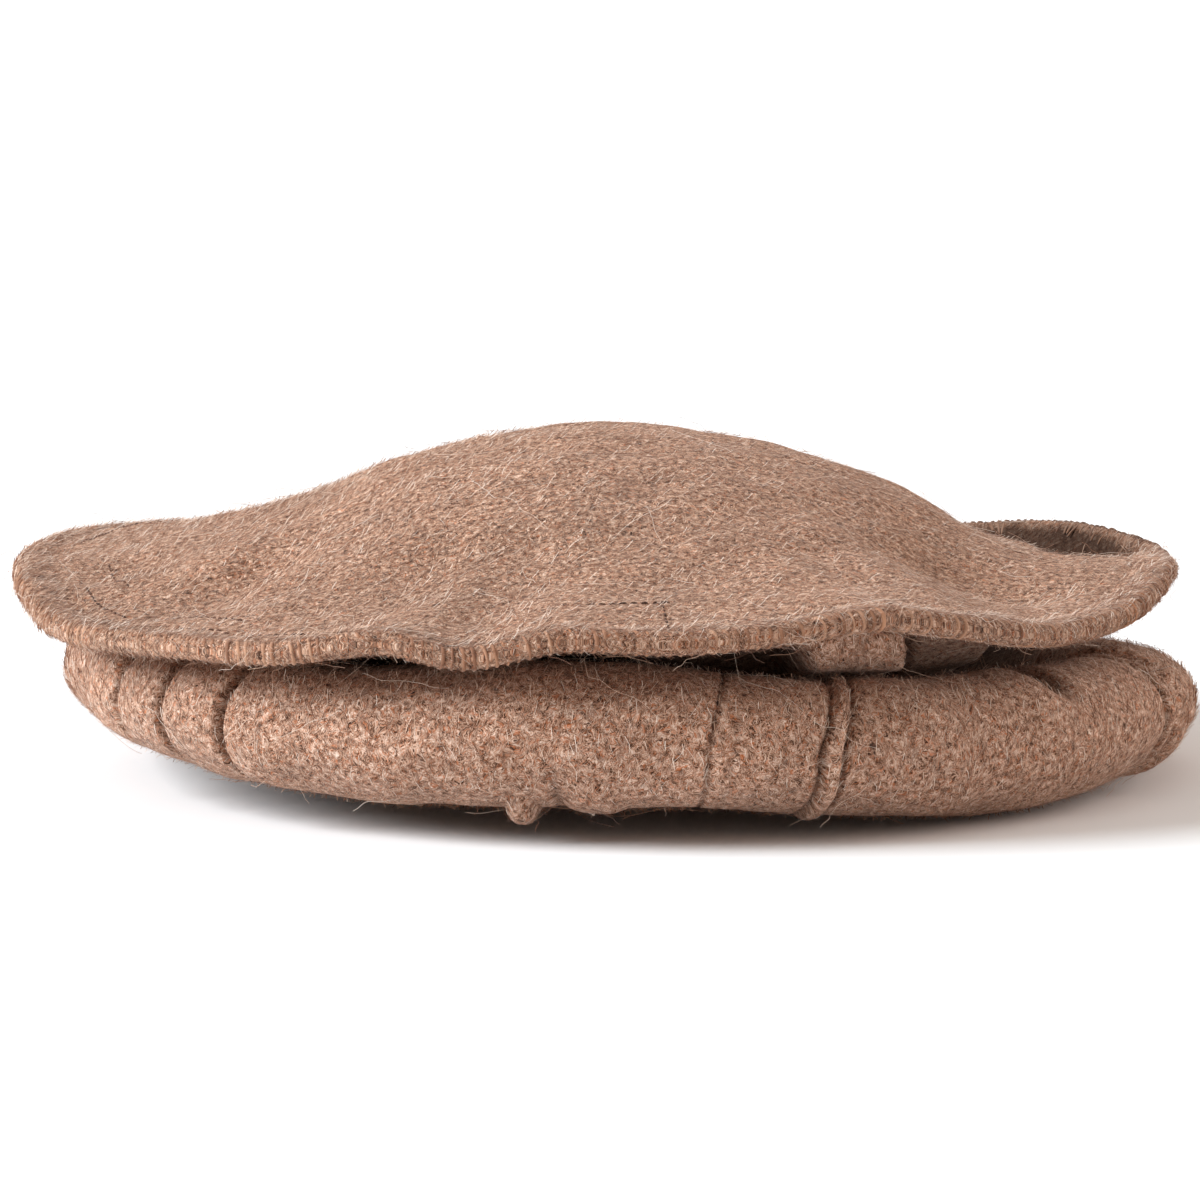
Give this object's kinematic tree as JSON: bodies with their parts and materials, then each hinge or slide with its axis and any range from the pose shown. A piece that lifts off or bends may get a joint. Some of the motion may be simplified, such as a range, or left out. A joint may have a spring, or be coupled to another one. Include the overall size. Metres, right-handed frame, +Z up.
{
  "type": "pakol hat",
  "caption": "Soft round felted-wool hat with a shallow domed crown, a wavy overcast rim and a thick band rolled from its own side.",
  "frame": {"origin": "middle of the bounding box at the surface that the hat lies on", "axes": "+Z up, +X to the right tip of the crown, -Y to the near side that the picture shows"},
  "size_m": [0.282, 0.279, 0.0815],
  "materials": {
    "crown_felt": "brushed brown felted wool with pale and rust fibres",
    "side_felt": "brown felted knit wool with pale and rust fibres"
  },
  "bodies": {
    "root": {"crown": "crown_felt", "rolled_side": "side_felt"}
  },
  "joints": []
}
